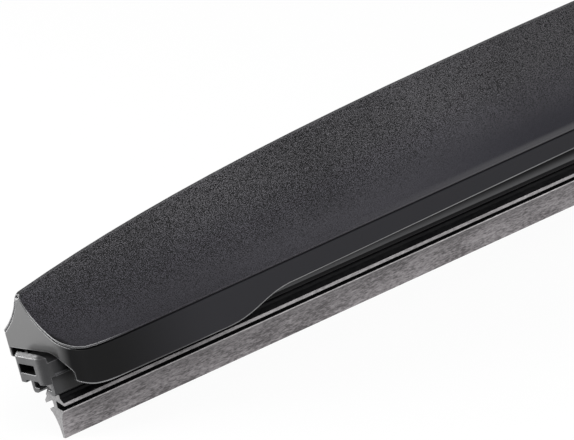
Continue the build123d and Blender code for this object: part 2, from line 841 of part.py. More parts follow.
# Centre cover: the same spoiler between the seams, with a housing for the adapter in its middle
x_spoiler = x_lever + seam_radius * 0.4
saddle_half = housing_length / 2 - housing_slope
with BuildPart() as centre_cover:
    loft([spoiler_section(x) for x in (x_spoiler, 0, -x_spoiler)])
    with BuildSketch(Plane.XZ):
        with BuildLine():
            Polyline(
                (-saddle_half - housing_ramp, ridge_top + 1),
                (-saddle_half, housing_top),
                (saddle_half, housing_top),
                (saddle_half + housing_ramp, ridge_top + 1),
                close=True,
            )
        make_face()
    extrude(amount=far, both=True, mode=Mode.SUBTRACT)
    add(housing_block(0))
    with BuildPart(mode=Mode.PRIVATE) as hollow_spoiler:
        loft([inner_section(x) for x in (x_spoiler - 1, 0, 1 - x_spoiler)])
    add(hollow_spoiler.part, mode=Mode.SUBTRACT)
    add(housing_block(housing_wall), mode=Mode.SUBTRACT)
    with BuildSketch(Plane.XY.offset(housing_top - housing_wall - 1)):
        with Locations(((aperture_start + aperture_end) / 2, 0)):
            RectangleRounded(aperture_end - aperture_start, aperture_width, aperture_corner)
    extrude(amount=far, mode=Mode.SUBTRACT)
    with BuildSketch(Plane.XY):
        Rectangle(far, far)
    extrude(amount=skirt_inner_height, mode=Mode.SUBTRACT)
    for pin_x in (x_lever, -x_lever):
        with BuildSketch(Plane.XZ):
            with Locations((pin_x, lever_pin_height)):
                Circle(seam_radius + seam_gap)
        extrude(amount=far, both=True, mode=Mode.SUBTRACT)
export_piece(centre_cover, "centre_cover")
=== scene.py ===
"""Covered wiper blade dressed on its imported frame: covers, levers, claws, rubber and steel strips."""

import logging
import math
from dataclasses import dataclass, field
from enum import Enum
from typing import Any, Sequence

import bmesh
import bpy
from mathutils import Matrix, Vector


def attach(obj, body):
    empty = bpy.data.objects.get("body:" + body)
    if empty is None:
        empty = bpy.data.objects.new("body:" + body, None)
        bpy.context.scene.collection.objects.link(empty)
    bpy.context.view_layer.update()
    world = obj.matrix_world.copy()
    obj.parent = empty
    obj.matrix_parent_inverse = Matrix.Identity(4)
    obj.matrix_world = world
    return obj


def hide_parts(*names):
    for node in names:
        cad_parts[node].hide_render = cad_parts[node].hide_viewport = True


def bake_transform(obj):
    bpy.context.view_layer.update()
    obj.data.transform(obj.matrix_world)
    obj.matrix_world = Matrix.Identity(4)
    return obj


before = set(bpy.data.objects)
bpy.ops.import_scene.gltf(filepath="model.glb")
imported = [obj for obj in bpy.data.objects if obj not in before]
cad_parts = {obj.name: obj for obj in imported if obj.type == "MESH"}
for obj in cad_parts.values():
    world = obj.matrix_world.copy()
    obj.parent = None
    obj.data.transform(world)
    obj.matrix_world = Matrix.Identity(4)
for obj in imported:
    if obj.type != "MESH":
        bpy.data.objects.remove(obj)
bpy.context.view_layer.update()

log = logging.getLogger("wiper_blade")
MM = 0.001
Point = tuple[float, float]
Colour = tuple[float, float, float]
BLACK: Colour = (0.0, 0.0, 0.0)
WHITE: Colour = (1.0, 1.0, 1.0)
HALF_LENGTH = 225 * MM


class Side(Enum):
    """The two ends of the blade; the value is the sign of x."""

    LEFT = -1
    RIGHT = 1

    @property
    def word(self) -> str:
        """Name of the side as the nodes and bodies spell it."""
        return self.name.lower()


class Axis(Enum):
    """Row axis by its place in a vector."""

    X = 0
    Y = 1
    Z = 2


class RubberFace(Enum):
    """Kinds of face on the rubber, by their place in its list of materials."""

    BARE = 0
    COATED = 1
    CUT = 2
    FLANGE = 3
    SHOULDER = 4


class Signal:
    """A value socket that takes part in Python expressions."""

    def __init__(self, bench: "ShaderBench", socket: bpy.types.NodeSocket) -> None:
        """Wrap the output socket that carries the value."""
        self.bench = bench
        self.socket = socket

    def _math(self, operation: str, *others: Any) -> "Signal":
        """Add one Math node.

        Args:
            operation: the node's operation.
            others: its other inputs, numbers or signals.

        Returns:
            The node's result.
        """
        values = {0: self}
        values.update({place + 1: other for place, other in enumerate(others)})
        return self.bench.add("ShaderNodeMath", {"operation": operation}, values)

    def __add__(self, other: Any) -> "Signal":
        """Sum."""
        return self._math("ADD", other)

    __radd__ = __add__

    def __sub__(self, other: Any) -> "Signal":
        """Difference."""
        return self._math("SUBTRACT", other)

    def __rsub__(self, other: Any) -> "Signal":
        """Difference with the signal taken away."""
        return self._math("MULTIPLY", -1.0)._math("ADD", other)

    def __mul__(self, other: Any) -> "Signal":
        """Product."""
        return self._math("MULTIPLY", other)

    __rmul__ = __mul__

    def __abs__(self) -> "Signal":
        """Size without sign."""
        return self._math("ABSOLUTE")

    def exp(self) -> "Signal":
        """Natural exponential."""
        return self._math("EXPONENT")

    def most(self, other: Any) -> "Signal":
        """Larger of two."""
        return self._math("MAXIMUM", other)

    def rise(self, low: Any, high: Any) -> "Signal":
        """Smooth step from 0 at low to 1 at high.

        Args:
            low: value or signal where the step starts.
            high: value or signal where it ends.

        Returns:
            The step.
        """
        return self.bench.add(
            "ShaderNodeMapRange",
            {"interpolation_type": "SMOOTHSTEP", "clamp": True},
            {"Value": self, "From Min": low, "From Max": high, "To Min": 0.0, "To Max": 1.0},
        )


class ShaderBench:
    """One node tree, with a single way to add a node."""

    def __init__(self, owner: bpy.types.Material | bpy.types.World) -> None:
        """Start with an empty tree.

        Args:
            owner: the material or world that the tree belongs to.
        """
        owner.use_nodes = True
        self.owner = owner
        self.tree = owner.node_tree
        self.tree.nodes.clear()

    @classmethod
    def material(cls, name: str) -> "ShaderBench":
        """Bench of a new material."""
        return cls(bpy.data.materials.new(name))

    def add(
        self,
        kind: str,
        settings: dict[str, Any] | None = None,
        values: dict[Any, Any] | None = None,
        output: Any = 0,
    ) -> Signal:
        """Add a node, set it up and join its sockets.

        Args:
            kind: the node's type.
            settings: its properties, which are set first.
            values: numbers, tuples or signals for its sockets, by name or place.
            output: the socket to return, by name or place.

        Returns:
            The chosen output.
        """
        node = self.tree.nodes.new(kind)
        for key, value in (settings or {}).items():
            setattr(node, key, value)
        for key, value in (values or {}).items():
            if isinstance(value, Signal):
                self.tree.links.new(value.socket, node.inputs[key])
            else:
                node.inputs[key].default_value = value
        return Signal(self, node.outputs[output] if node.outputs else None)

    def coordinates(self) -> Signal:
        """Object coordinates, which are the row frame in metres."""
        return self.add("ShaderNodeTexCoord", output="Object")

    def parts(self, vector: Signal) -> tuple[Signal, Signal, Signal]:
        """Split a vector.

        Args:
            vector: the vector.

        Returns:
            Its x, y and z.
        """
        split = self.add("ShaderNodeSeparateXYZ", values={0: vector})
        outputs = split.socket.node.outputs
        return Signal(self, outputs[0]), Signal(self, outputs[1]), Signal(self, outputs[2])

    def scaled(self, vector: Signal, scale: Sequence[float]) -> Signal:
        """Vector stretched by a factor on each axis."""
        return self.add("ShaderNodeMapping", values={"Vector": vector, "Scale": tuple(scale)})

    def noise(self, vector: Signal, scale: float, detail: float = 2.0, rough: float = 0.5) -> Signal:
        """Cloud noise about 0.5; detail is its number of octaves and rough the weight of the finer ones."""
        values = {"Vector": vector, "Scale": scale, "Detail": detail, "Roughness": rough}
        return self.add("ShaderNodeTexNoise", values=values)

    def cells(self, vector: Signal, scale: float) -> Signal:
        """Distance to the nearest cell centre, with scale cells to a metre."""
        values = {"Vector": vector, "Scale": scale}
        return self.add("ShaderNodeTexVoronoi", values=values, output="Distance")

    def mix(self, share: Any, first: Any, second: Any) -> Signal:
        """Colour between two, by the share of the second."""
        values = {0: share, 6: first, 7: second}
        return self.add("ShaderNodeMix", {"data_type": "RGBA"}, values, output=2)

    def bump(self, height: Signal, distance: float, strength: float, normal: Signal) -> Signal:
        """Normal bumped by a height map, in which 1 stands for the distance in metres."""
        values = {"Height": height, "Distance": distance, "Strength": strength, "Normal": normal}
        return self.add("ShaderNodeBump", values=values)

    def soft_edges(self, radius: float) -> Signal:
        """Normal that rounds the edges of a solid to a radius in metres."""
        return self.add("ShaderNodeBevel", {"samples": 6}, {"Radius": radius})

    def worn_and_highlight_edges(self, rounded: Signal, low: float = 0.02, high: float = 0.12) -> Signal:
        """Share of wear and painted highlight along convex and concave edges.

        Args:
            rounded: the normal from soft_edges.
            low: turn of the normal where wear starts.
            high: turn of the normal where it is full.

        Returns:
            The share, 0 away from the edges.
        """
        plain = self.add("ShaderNodeNewGeometry", output="Normal")
        settings = {"operation": "DOT_PRODUCT"}
        same = self.add("ShaderNodeVectorMath", settings, {0: plain, 1: rounded}, output="Value")
        return (1.0 - same).rise(low, high)

    def surface(self, **values: Any) -> bpy.types.Material:
        """Finish with a Principled surface.

        Args:
            values: its sockets, by name with spaces written as underscores.

        Returns:
            The material.
        """
        sockets = {key.replace("_", " "): value for key, value in values.items()}
        shader = self.add("ShaderNodeBsdfPrincipled", values=sockets)
        self.add("ShaderNodeOutputMaterial", values={"Surface": shader})
        return self.owner


def rgba(colour: Colour) -> tuple[float, float, float, float]:
    """Colour with full alpha."""
    return (*colour, 1.0)


@dataclass(frozen=True)
class CoverSpot:
    """What the covers' finish knows of a point on the surface.

    Attributes:
        place: the row's coordinates.
        y: the coordinate across the blade.
        inward: length in from the blade's end.
        above_crease: height above the crease.
        slant: x of the normal.
        tilt: z of the normal.
        rounded: the normal with soft edges.
        drift: slow noise.
        cells: distance to the nearest grain.
        speckle: fine noise.
    """

    place: Signal
    y: Signal
    inward: Signal
    above_crease: Signal
    slant: Signal
    tilt: Signal
    rounded: Signal
    drift: Signal
    cells: Signal
    speckle: Signal


@dataclass(frozen=True)
class CoverFinish:
    """Moulded covers: grained flanks above the crease with painted light and shade, satin skirts darkened
    as painted shade, polished ends, and edges paled partly by wear and partly as painted highlight.

    A pair is where something starts and where it is full: a length inward from the blade's end, up
    from the crease or across in y, or a part of the normal.
    """

    name: str = "cover_plastic"
    grain_dark: Colour = (0.001, 0.001, 0.0014)
    grain_pale: Colour = (0.0755, 0.0725, 0.086)
    grain_inner: Colour = (0.108, 0.1045, 0.121)
    # Painted light: paler towards the ridge.
    grain_top_painted_light: Colour = (0.147, 0.143, 0.150)
    # Painted shade: darker low on the flank.
    grain_low_painted_shade: Colour = (0.0415, 0.0405, 0.052)
    # Painted highlight: pale strip over the crease.
    crease_highlight: Colour = (0.085, 0.084, 0.088)
    # Painted shade: the satin skirts are far darker than the grained flanks of the same plastic, and
    # darkest near the end.
    satin_end_painted_shade: Colour = (0.0008, 0.0008, 0.001)
    satin: Colour = (0.0142, 0.014, 0.0165)
    # Edge colour: partly wear, partly painted highlight.
    worn_and_highlight: Colour = (0.13, 0.13, 0.134)
    # Painted highlight along the rim under the skirt.
    rim_painted_highlight: Colour = (0.20, 0.20, 0.204)
    # Painted highlight: the lip's edge at the end.
    end_lip_painted_highlight: Colour = (0.50, 0.50, 0.51)
    half_length: float = HALF_LENGTH
    crease_at_end: float = 15.45 * MM
    crease_slope: float = 0.0105
    crease_lift: float = 1.8 * MM
    crease_reach: float = 3.0 * MM
    rear_lift: float = 0.8 * MM
    lip: float = 0.3 * MM
    grain_pitch: float = 0.14 * MM
    grain_depth: float = 0.10 * MM
    grain_contrast: float = 13.0
    contrast_up: Point = (1.0 * MM, 13.0 * MM)
    contrast_lost_in: Point = (38 * MM, 95 * MM)
    contrast_lost_rear: Point = (2.2 * MM, 3.2 * MM)
    paler_in: Point = (5 * MM, 75 * MM)
    far_in: Point = (50 * MM, 110 * MM)
    low_band: Point = (2 * MM, 8 * MM)
    top_band: Point = (6 * MM, 13 * MM)
    crease_highlight_band: Point = (0.5 * MM, 1.1 * MM)
    satin_in: Point = (6 * MM, 30 * MM)
    end_zone: Point = (5 * MM, 14 * MM)
    deep_skirt: tuple[Point, Point] = ((9 * MM, 12 * MM), (24 * MM, 27 * MM))
    tip: Point = (1 * MM, 2 * MM)
    grain_edge: Point = (0.0, 0.10 * MM)
    lip_edge: Point = (-0.12 * MM, -0.04 * MM)
    crease_zone: Point = (0.6 * MM, 1.2 * MM)
    rim_zone: Point = (-0.6 * MM, 0.0)
    front_to_rear: Point = (-0.4 * MM, 0.4 * MM)
    crease_to_rear: Point = (-1.0 * MM, 1.0 * MM)
    turned_out: Point = (0.22, 0.36)
    end_face: Point = (0.72, 0.97)
    end_face_lean: Point = (0.10, 0.30)
    rim_turn: Point = (0.15, 0.40)
    underside: Point = (0.85, 0.98)
    patches: Point = (0.3, 0.6)
    rough: float = 0.40
    grain_rough: float = 0.20
    edge: float = 0.22 * MM
    shine: float = 0.16
    polish: float = 1.0

    def build(self) -> bpy.types.Material:
        """Make the material.

        Returns:
            The material.
        """
        bench = ShaderBench.material(self.name)
        spot = self.survey(bench)
        faces_out = abs(spot.slant).rise(*self.turned_out)
        above = spot.above_crease.rise(*self.grain_edge) * (1.0 - faces_out)
        # Painted shade on the skirts, deepest near the end.
        skirt = bench.mix(spot.inward.rise(*self.satin_in), rgba(self.satin_end_painted_shade), rgba(self.satin))
        colour = bench.mix(above, skirt, self.grained(bench, spot))
        grain = (1.0 - spot.cells) * 0.7 + spot.speckle * 0.3
        height = grain * above + spot.speckle * (1.0 - above) * 0.03
        at_tip = 1.0 - spot.inward.rise(*self.tip)
        upright = 1.0 - spot.tilt.rise(*self.end_face_lean)
        flat_end = abs(spot.slant).rise(*self.end_face) * upright * at_tip
        return bench.surface(
            Base_Color=self.wear_and_highlights(bench, spot, colour),
            Roughness=above * self.grain_rough + self.rough + spot.drift * 0.06,
            Normal=bench.bump(height, self.grain_depth, 0.8, spot.rounded),
            Specular_IOR_Level=self.shine,
            Coat_Weight=flat_end * self.polish,
            Coat_Roughness=0.3,
            Coat_IOR=1.64,
        )

    def survey(self, bench: ShaderBench) -> CoverSpot:
        """Read where a point is and which way it faces.

        Args:
            bench: the bench that adds the nodes.

        Returns:
            The readings.
        """
        place = bench.coordinates()
        x, y, z = bench.parts(place)
        slant, _, tilt = bench.parts(bench.add("ShaderNodeTexCoord", output="Normal"))
        inward = self.half_length - abs(x)
        lift = (inward * (-1.0 / self.crease_reach)).exp() * self.crease_lift
        crease = inward * self.crease_slope + self.crease_at_end + lift - self.lip
        return CoverSpot(
            place=place,
            y=y,
            inward=inward,
            above_crease=z - crease - y.rise(*self.crease_to_rear) * self.rear_lift,
            slant=slant,
            tilt=tilt,
            rounded=bench.soft_edges(self.edge),
            drift=bench.noise(place, 40.0, 2.0),
            cells=bench.cells(place, 1.0 / self.grain_pitch),
            speckle=bench.noise(place, 2.0 / self.grain_pitch, 1.0, 0.5),
        )

    def grained(self, bench: ShaderBench, spot: CoverSpot) -> Signal:
        """Colour of the grained flanks, with painted light and shade in bands and in the grain's contrast.

        Args:
            bench: the bench that adds the nodes.
            spot: the readings at a point.

        Returns:
            The colour.
        """
        up = spot.above_crease
        far_in = spot.inward.rise(*self.far_in)
        # Painted shading of the grain: its contrast grows up the flank and fades far in and towards the
        # rear, as grazing light on the bumps would make it.
        grain_shading_spread = up.rise(*self.contrast_up) * 0.88 + 0.12
        grain_shading_spread = grain_shading_spread * (1.0 - spot.inward.rise(*self.contrast_lost_in) * 0.68)
        grain_shading_spread = grain_shading_spread * (1.0 - spot.y.rise(*self.contrast_lost_rear) * 0.55)
        grain = (1.0 - spot.cells) * 0.6 + spot.speckle * 0.7 + spot.drift * 0.1 - 0.78
        tone = grain * grain_shading_spread * self.grain_contrast + 0.45
        pale = bench.mix(spot.inward.rise(*self.paler_in), rgba(self.grain_pale), rgba(self.grain_inner))
        # Painted shade: a darker band low on the flank, far in.
        pale = bench.mix(far_in * (1.0 - up.rise(*self.low_band)), pale, rgba(self.grain_low_painted_shade))
        # Painted light: a paler band high on the flank, towards the ridge.
        pale = bench.mix(up.rise(*self.top_band) * 0.7, pale, rgba(self.grain_top_painted_light))
        colour = bench.mix(tone.rise(-0.2, 1.2), rgba(self.grain_dark), pale)
        # Painted highlight: a pale strip just above the crease, far in.
        return bench.mix(far_in * (1.0 - up.rise(*self.crease_highlight_band)) * 0.6, colour, rgba(self.crease_highlight))

    def wear_and_highlights(self, bench: ShaderBench, spot: CoverSpot, colour: Signal) -> Signal:
        """Pale the edges, partly as wear and partly as painted highlight, and paint highlights on the lip
        at the end and on the rim under the skirt.

        Args:
            bench: the bench that adds the nodes.
            spot: the readings at a point.
            colour: the colour before any wear or painted highlight.

        Returns:
            The colour with wear and painted highlights.
        """
        up = spot.above_crease
        by_crease = 1.0 - abs(up).rise(*self.crease_zone)
        at_end = 1.0 - spot.inward.rise(*self.end_zone)
        patchy = spot.drift.rise(*self.patches) * 0.4 + 0.6
        on_lip = 1.0 - by_crease * (1.0 - up.rise(*self.lip_edge))
        # Edges pale partly by wear and partly as painted highlight.
        scuffs_and_highlights = bench.worn_and_highlight_edges(spot.rounded) * patchy * on_lip
        scuffs_and_highlights = scuffs_and_highlights * (1.0 - by_crease * (1.0 - at_end) * 0.9)
        # Painted highlight: the lip's edge at the end, on the front, is far paler than the other edges.
        in_front = 1.0 - spot.y.rise(*self.front_to_rear)
        on_rim = at_end * up.rise(*self.rim_zone) * in_front
        edge_tone = bench.mix(on_rim, rgba(self.worn_and_highlight), rgba(self.end_lip_painted_highlight))
        colour = bench.mix(scuffs_and_highlights * 0.85, colour, edge_tone)
        # Painted highlight: a pale line along the rim under the skirt, patchy and weaker in one stretch.
        down = spot.tilt * -1.0
        begin, end = self.deep_skirt
        deep = spot.inward.rise(*begin) * (1.0 - spot.inward.rise(*end))
        rim = down.rise(*self.rim_turn) * (1.0 - down.rise(*self.underside)) * (1.0 - deep * 0.6)
        return bench.mix(rim * patchy, colour, rgba(self.rim_painted_highlight))


@dataclass(frozen=True)
class RubberFinish:
    """Rubber with streaks that run along the blade; a grain is noise to a metre along and across it."""

    name: str
    dark: Colour
    pale: Colour
    shine: float = 0.25
    streak_grain: Point = (420.0, 1900.0)
    long_grain: Point = (120.0, 900.0)
    dust_grain: Point = (1100.0, 4400.0)
    patch_grain: Point = (90.0, 240.0)
    edge: float = 0.12 * MM
    depth: float = 0.03 * MM

    def build(self) -> bpy.types.Material:
        """Make the material.

        Returns:
            The material.
        """
        bench = ShaderBench.material(self.name)
        place = bench.coordinates()
        streaks, long_streaks, dust, patches = (
            bench.noise(bench.scaled(place, (along, across, across)), 1.0, detail, rough)
            for (along, across), detail, rough in (
                (self.streak_grain, 4.0, 0.6),
                (self.long_grain, 3.0, 0.55),
                (self.dust_grain, 2.0, 0.6),
                (self.patch_grain, 2.0, 0.5),
            )
        )
        tone = (streaks * 0.6 + long_streaks * 0.4 + dust * 1.3 + patches * 0.6).rise(1.08, 1.82)
        colour = bench.mix(tone, rgba(self.dark), rgba(self.pale))
        height = streaks * 0.6 + dust * 0.4
        return bench.surface(
            Base_Color=colour,
            Roughness=0.5 + tone * 0.12,
            Normal=bench.bump(height, self.depth, 0.6, bench.soft_edges(self.edge)),
            Specular_IOR_Level=self.shine,
        )


@dataclass(frozen=True)
class MouldedFinish:
    """Plain moulded plastic with a faint texture, a little tone and edges paled partly by wear and partly
    as painted highlight.

    A window's inside is painted black as shade. The plastic darkens to black as painted shade, from the
    second of its two shade lengths to the first.
    The tone is the factor on the colour where it is deepest and where it is palest.
    """

    name: str
    colour: Colour
    rough: float = 0.42
    tone: Point = (0.78, 1.25)
    pitch: float = 0.25 * MM
    drift_grain: float = 180.0
    depth: float = 0.015 * MM
    edge: float = 0.18 * MM
    shine: float = 0.3
    paling: float = 8.0
    window: tuple[Point, Point, Point] | None = None
    painted_shade_fade: Point | None = None

    def build(self) -> bpy.types.Material:
        """Make the material.

        Returns:
            The material.
        """
        bench = ShaderBench.material(self.name)
        place = bench.coordinates()
        fine = bench.noise(place, 1.0 / self.pitch, 3.0, 0.6)
        drift = bench.noise(place, self.drift_grain, 2.0)
        deep, pale = (tuple(factor * part for part in self.colour) for factor in self.tone)
        worn_and_highlight = tuple(min(0.8, self.paling * part) for part in self.colour)
        rounded = bench.soft_edges(self.edge)
        colour = bench.mix((fine * 0.5 + drift * 0.5).rise(0.3, 0.7), rgba(deep), rgba(pale))
        colour = bench.mix(bench.worn_and_highlight_edges(rounded) * 0.7, colour, rgba(worn_and_highlight))
        # Painted shade: the plastic darkens inward where the cover hangs over it.
        if self.painted_shade_fade:
            x, _, _ = bench.parts(place)
            colour = bench.mix((1.0 - abs(x).rise(*self.painted_shade_fade)) * 0.85, colour, rgba(BLACK))
        # Painted shade: the window's inside is darkened to black.
        if self.window:
            colour = bench.mix(self.inside(bench, place), colour, rgba(BLACK))
        return bench.surface(
            Base_Color=colour,
            Roughness=drift * 0.14 + (self.rough - 0.07),
            Normal=bench.bump(fine, self.depth, 0.8, rounded),
            Specular_IOR_Level=self.shine,
        )

    def inside(self, bench: ShaderBench, place: Signal) -> Signal:
        """Share of the window's inside, darkened to black as painted shade.

        Args:
            bench: the bench that adds the nodes.
            place: the row's coordinates.

        Returns:
            The share, 1 inside.
        """
        x, y, z = bench.parts(place)
        share: Any = 1.0
        brink = 0.01 * MM
        for value, (low, high) in zip((abs(x), y, z), self.window):
            share = value.rise(low, low + brink) * (1.0 - value.rise(high - brink, high)) * share
        return share


@dataclass(frozen=True)
class PaintedSteelFinish:
    """Satin black paint on pressed steel, with faint orange peel, edges paled partly by wear of the paint
    and partly as painted highlight, and an optional pale band along a wall above its foot as painted
    highlight.
    """

    name: str
    colour: Colour
    rough: float = 0.34
    shine: float = 0.25
    highlight_band_foot: float = 0.0
    highlight_band_top: float = 0.0
    highlight_band_edge: float = 0.12 * MM
    # Length under the band's foot kept dark as painted shade.
    shaded_foot: float = 0.2 * MM
    peel_grain: float = 1400.0
    drift_grain: float = 90.0
    depth: float = 0.02 * MM
    edge: float = 0.25 * MM
    palest: float = 1.5
    worn_and_highlight: Colour = (0.09, 0.09, 0.093)

    def build(self) -> bpy.types.Material:
        """Make the material.

        Returns:
            The material.
        """
        bench = ShaderBench.material(self.name)
        place = bench.coordinates()
        peel = bench.noise(place, self.peel_grain, 2.0)
        drift = bench.noise(place, self.drift_grain, 3.0)
        pale = tuple(self.palest * part for part in self.colour)
        rounded = bench.soft_edges(self.edge)
        colour = bench.mix(drift.rise(0.35, 0.7), rgba(self.colour), rgba(pale))
        wear_and_highlights = bench.worn_and_highlight_edges(rounded) * (drift.rise(0.3, 0.6) * 0.5 + 0.3)
        # Painted highlight: a pale band along the wall above its foot, for light caught on a rolled edge;
        # below the foot nothing pale is painted, so the wall stays dark as painted shade.
        if self.highlight_band_top > self.highlight_band_foot:
            _, _, z = bench.parts(place)
            foot_line = z.rise(self.highlight_band_foot - self.highlight_band_edge, self.highlight_band_foot)
            band = foot_line * (1.0 - z.rise(self.highlight_band_foot, self.highlight_band_top))
            wear_and_highlights = (wear_and_highlights * z.rise(self.highlight_band_foot - self.shaded_foot, self.highlight_band_foot)).most(band)
        colour = bench.mix(wear_and_highlights, colour, rgba(self.worn_and_highlight))
        return bench.surface(
            Base_Color=colour,
            Roughness=drift * 0.12 + (self.rough - 0.06),
            Normal=bench.bump(peel, self.depth, 0.5, rounded),
            Specular_IOR_Level=self.shine,
        )


@dataclass(frozen=True)
class SteelFinish:
    """Bare drawn steel, with lines that run one way.

    The tone is the factor on the colour where it is deepest and where it is palest.
    """

    name: str
    along: Axis
    colour: Colour = (0.48, 0.48, 0.50)
    tone: Point = (0.7, 1.2)
    line_grain: Point = (60.0, 4000.0)
    depth: float = 0.01 * MM
    edge: float = 0.1 * MM

    def build(self) -> bpy.types.Material:
        """Make the material.

        Returns:
            The material.
        """
        bench = ShaderBench.material(self.name)
        place = bench.coordinates()
        along, across = self.line_grain
        scale = [along if axis is self.along else across for axis in Axis]
        lines = bench.noise(bench.scaled(place, scale), 1.0, 3.0, 0.6)
        deep, pale = (tuple(factor * part for part in self.colour) for factor in self.tone)
        return bench.surface(
            Base_Color=bench.mix(lines.rise(0.3, 0.7), rgba(deep), rgba(pale)),
            Metallic=1.0,
            Roughness=lines * 0.2 + 0.2,
            Normal=bench.bump(lines, self.depth, 0.5, bench.soft_edges(self.edge)),
        )


@dataclass
class RubberStrip:
    """A run of the squeegee along x, with the two bodies at its ends."""

    name: str
    start: float
    end: float
    bodies: tuple[str, str]
    turn: tuple[float, float]
    pitch: float = 3.0 * MM
    lip: float = 0.36 * MM
    shoulder: float = 2.1 * MM
    neck: float = 0.55 * MM
    flange: float = 3.0 * MM
    root: float = 2.15 * MM
    waist: float = 1.15 * MM
    head: float = 2.55 * MM
    slot: float = 1.31 * MM
    lip_top: float = 5.06 * MM

    def outline(self) -> list[Point]:
        """Half section from the lip up.

        Returns:
            Points (y, z) in metres, y above zero.
        """
        return [
            (self.lip, 0.0),
            (0.43 * MM, 1.0 * MM),
            (0.58 * MM, 1.9 * MM),
            (0.82 * MM, 2.8 * MM),
            (1.18 * MM, 3.7 * MM),
            (1.62 * MM, 4.4 * MM),
            (self.shoulder, 4.85 * MM),
            (self.shoulder, 5.05 * MM),
            (0.85 * MM, 5.32 * MM),
            (self.neck, 5.45 * MM),
            (self.neck, 6.60 * MM),
            (0.75 * MM, 6.69 * MM),
            (self.flange, 6.0 * MM),
            (self.flange, 6.55 * MM),
            (self.root, 7.3 * MM),
            (self.root, 7.75 * MM),
            (1.45 * MM, 8.42 * MM),
            (self.waist, 8.7 * MM),
            (self.waist, 9.4 * MM),
            (self.head, 9.6 * MM),
            (self.head, 9.91 * MM),
            (self.slot, 9.91 * MM),
            (self.slot, 10.89 * MM),
            (self.head, 10.89 * MM),
            (self.head, 11.3 * MM),
            (2.25 * MM, 11.6 * MM),
        ]

    @staticmethod
    def lies_across(face: bmesh.types.BMFace) -> bool:
        """Whether a face lies across the blade."""
        return abs(face.normal.x) > 0.9

    def kind_of(self, face: bmesh.types.BMFace) -> RubberFace:
        """Tell what a face of the strip is.

        Args:
            face: the face.

        Returns:
            Its kind.
        """
        middle = face.calc_center_median()
        near = 0.05 * MM
        on_lip = middle.z < self.lip_top
        # The faces sorted here get their own finishes: paler ones on the flange, the shoulder and the cut
        # ends as painted light, a near-black one on the bare rubber as painted shade.
        if self.lies_across(face):
            return RubberFace.CUT
        if abs(middle.y) > self.flange - near:
            return RubberFace.FLANGE
        if on_lip and abs(middle.y) > self.shoulder - near:
            return RubberFace.SHOULDER
        return RubberFace.COATED if on_lip else RubberFace.BARE

    def build(self, finishes: "Finishes") -> bpy.types.Object:
        """Extrude the section along x.

        Args:
            finishes: the finishes, of which the rubber's five are used.

        Returns:
            The piece.
        """
        mesh = bmesh.new()
        half = self.outline()
        ring = [mesh.verts.new((self.start, y, z)) for y, z in half]
        ring += [mesh.verts.new((self.start, -y, z)) for y, z in reversed(half)]
        mesh.faces.new(ring)
        steps = max(2, round((self.end - self.start) / self.pitch))
        front = list(mesh.faces)
        for _ in range(steps):
            made = bmesh.ops.extrude_face_region(mesh, geom=front, use_keep_orig=True)
            corners = [item for item in made["geom"] if isinstance(item, bmesh.types.BMVert)]
            bmesh.ops.translate(mesh, verts=corners, vec=((self.end - self.start) / steps, 0.0, 0.0))
            front = [item for item in made["geom"] if isinstance(item, bmesh.types.BMFace)]
        inner = [
            face
            for face in mesh.faces
            if self.lies_across(face) and self.start + MM < face.calc_center_median().x < self.end - MM
        ]
        bmesh.ops.delete(mesh, geom=inner, context="FACES_ONLY")
        bmesh.ops.recalc_face_normals(mesh, faces=mesh.faces)
        for face in mesh.faces:
            face.material_index = self.kind_of(face).value
        piece = piece_from(mesh, self.name, finishes.rubber)
        for finish in (finishes.coated, finishes.cut, finishes.flange, finishes.shoulder):
            piece.data.materials.append(finish)
        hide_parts("squeegee")
        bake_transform(piece)
        return piece


@dataclass
class SteelStrips:
    """A run of the two spring strips that lie in the rubber's slots."""

    name: str
    start: float
    end: float
    bodies: tuple[str, str]
    turn: tuple[float, float]
    pitch: float = 6.0 * MM
    inner: float = 1.35 * MM
    outer: float = 2.55 * MM
    foot: float = 9.95 * MM
    top: float = 10.85 * MM
    rolled_edge: float = 0.12 * MM

    def build(self, finishes: "Finishes") -> bpy.types.Object:
        """Make both strips and divide them along x.

        Args:
            finishes: the finishes, of which the strip's is used.

        Returns:
            The piece.
        """
        mesh = bmesh.new()
        size = Vector((self.end - self.start, self.outer - self.inner, self.top - self.foot))
        middle = Vector((self.start + self.end, self.inner + self.outer, self.foot + self.top)) / 2
        shape = Matrix.Translation(middle) @ Matrix.Diagonal((*size, 1.0))
        bmesh.ops.create_cube(mesh, size=1.0, matrix=shape)
        long_edges = [edge for edge in mesh.edges if abs(edge.verts[0].co.x - edge.verts[1].co.x) > MM]
        bmesh.ops.bevel(
            mesh,
            geom=long_edges,
            offset=self.rolled_edge,
            offset_type="OFFSET",
            affect="EDGES",
            segments=2,
            profile=0.5,
            material=-1,
        )
        steps = max(2, round(size.x / self.pitch))
        for step in range(1, steps):
            cut = Vector((self.start + size.x * step / steps, 0.0, 0.0))
            everything = [*mesh.verts, *mesh.edges, *mesh.faces]
            bmesh.ops.bisect_plane(mesh, geom=everything, plane_co=cut, plane_no=(1.0, 0.0, 0.0))
        whole = [*mesh.verts, *mesh.edges, *mesh.faces]
        bmesh.ops.mirror(mesh, geom=whole, merge_dist=0.0, axis="Y")
        bmesh.ops.recalc_face_normals(mesh, faces=mesh.faces)
        piece = piece_from(mesh, self.name, finishes.strip)
        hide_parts("front_vertebra", "rear_vertebra")
        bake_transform(piece)
        return piece


def piece_from(mesh: bmesh.types.BMesh, name: str, finish: bpy.types.Material) -> bpy.types.Object:
    """Turn a bmesh into an object of the scene.

    Args:
        mesh: the finished mesh, freed here.
        name: the piece's name.
        finish: its material.

    Returns:
        The object.
    """
    data = bpy.data.meshes.new(name)
    mesh.to_mesh(data)
    mesh.free()
    data.materials.append(finish)
    piece = bpy.data.objects.new(name, data)
    bpy.context.scene.collection.objects.link(piece)
    return piece


